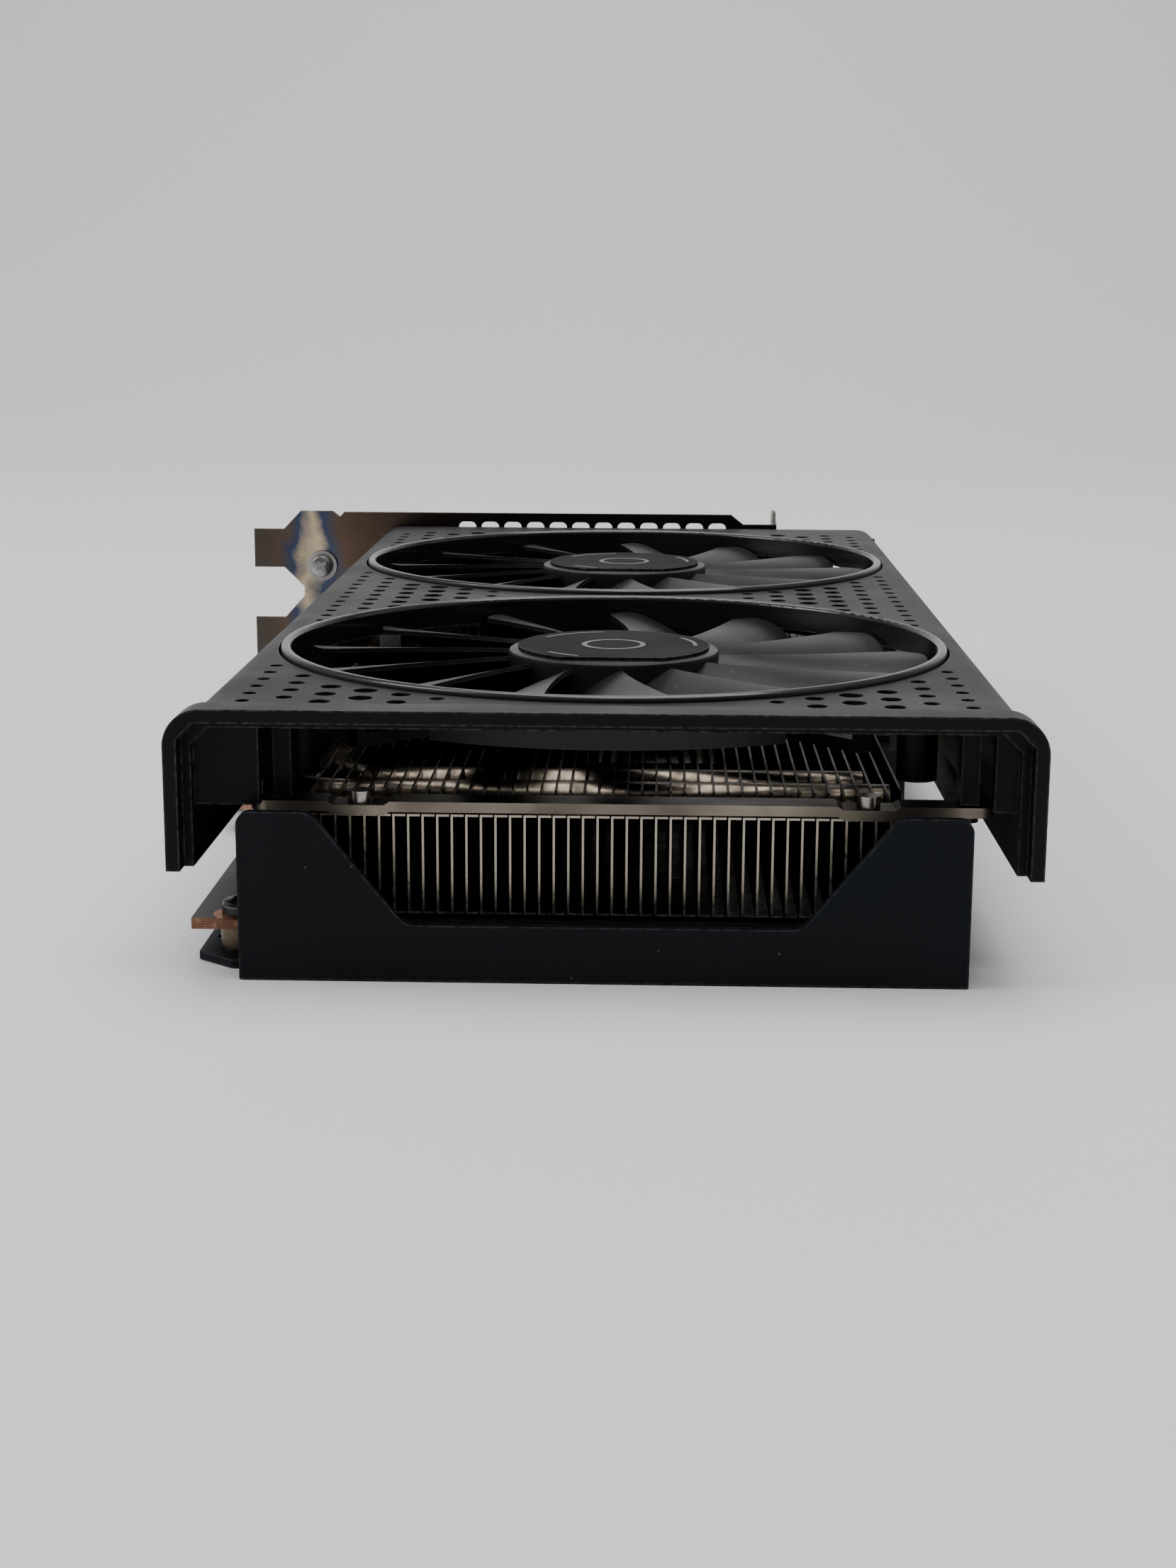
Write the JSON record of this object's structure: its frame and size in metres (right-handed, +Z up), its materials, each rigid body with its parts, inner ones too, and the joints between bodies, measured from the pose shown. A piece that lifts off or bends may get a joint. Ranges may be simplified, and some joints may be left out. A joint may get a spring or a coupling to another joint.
{
  "type": "graphics card",
  "caption": "Dual-slot graphics card with two jointed fans, finned heatsink, perforated shroud, backplate and bracket.",
  "frame": {"origin": "on the backplate's underside, on the line of the fan axes, midway between the open end of the shroud and the bracket's inner face", "axes": "+X towards the power socket, away from the edge connector; +Y towards the bracket; +Z up out of the fans"},
  "size_m": [0.1435, 0.2515, 0.0382],
  "materials": {
    "shroud_plastic": "fine textured moulding",
    "fan_plastic": "smooth moulded, slightly glossy",
    "badge_plate": "satin disc with lighter arcs",
    "frame_plate": "nickel plated sheet",
    "pipe_nickel": "bright nickel plate",
    "fin_aluminium": "stamped sheet, satin",
    "plate_nickel": "machined and nickel plated",
    "board_laminate": "black solder mask, brown cut edge",
    "contact_gold": "gold plate",
    "package_laminate": "green laminate",
    "die_silicon": "polished silicon",
    "chip_resin": "moulded resin",
    "pad_silicone": "soft, matt",
    "choke_case": "pressed powder case",
    "can_aluminium": "bright can",
    "header_plastic": "moulded nylon",
    "socket_plastic": "moulded nylon",
    "port_steel": "folded, tin plated",
    "bracket_nickel": "dark nickel with heat tint",
    "screw_steel": "zinc plated",
    "screw_black": "black oxide",
    "backplate_coat": "satin black coat",
    "spacer_brass": "turned brass",
    "shaft_steel": "ground steel",
    "magnet_rubber": "bonded ferrite",
    "winding_copper": "enamelled copper on steel"
  },
  "bodies": {
    "card": {"shroud": "shroud_plastic", "mid_frame": "frame_plate", "frame_rivets": "frame_plate", "shroud_screws": "screw_black", "front_outer_pipe": "pipe_nickel", "front_inner_pipe": "pipe_nickel", "rear_outer_pipe": "pipe_nickel", "rear_inner_pipe": "pipe_nickel", "cold_plate": "plate_nickel", "fin_stack": "fin_aluminium", "circuit_board": "board_laminate", "edge_contacts": "contact_gold", "processor_package": "package_laminate", "processor_die": "die_silicon", "memory_chips": "chip_resin", "thermal_pads": "pad_silicone", "power_chokes": "choke_case", "power_transistors": "chip_resin", "capacitor_cans": "can_aluminium", "fan_header": "header_plastic", "power_socket": "socket_plastic", "power_pins": "contact_gold", "display_socket_shells": "port_steel", "display_socket_tongues": "socket_plastic", "video_socket_shell": "port_steel", "video_socket_tongue": "socket_plastic", "io_bracket": "bracket_nickel", "bracket_screw": "screw_steel", "lug_screws": "screw_steel", "backplate": "backplate_coat", "board_standoffs": "spacer_brass", "board_screws": "screw_black", "retention_plate": "frame_plate", "retention_screws": "screw_black", "near_fan_frame": "fan_plastic", "near_bearing_sleeve": "spacer_brass", "near_stator": "winding_copper", "near_motor_board": "board_laminate", "far_fan_frame": "fan_plastic", "far_bearing_sleeve": "spacer_brass", "far_stator": "winding_copper", "far_motor_board": "board_laminate"},
    "near_rotor": {"near_fan_rotor": "fan_plastic", "near_hub_badge": "badge_plate", "near_magnet_ring": "magnet_rubber", "near_fan_shaft": "shaft_steel"},
    "far_rotor": {"far_fan_rotor": "fan_plastic", "far_hub_badge": "badge_plate", "far_magnet_ring": "magnet_rubber", "far_fan_shaft": "shaft_steel"}
  },
  "joints": [
    {"name": "near_fan_spin", "type": "hinge", "parent": "card", "child": "near_rotor", "pos_m": [0, -0.05475, 0.03], "axis": [0, 0, 1], "continuous": true},
    {"name": "far_fan_spin", "type": "hinge", "parent": "card", "child": "far_rotor", "pos_m": [0, 0.05475, 0.03], "axis": [0, 0, 1], "continuous": true}
  ]
}
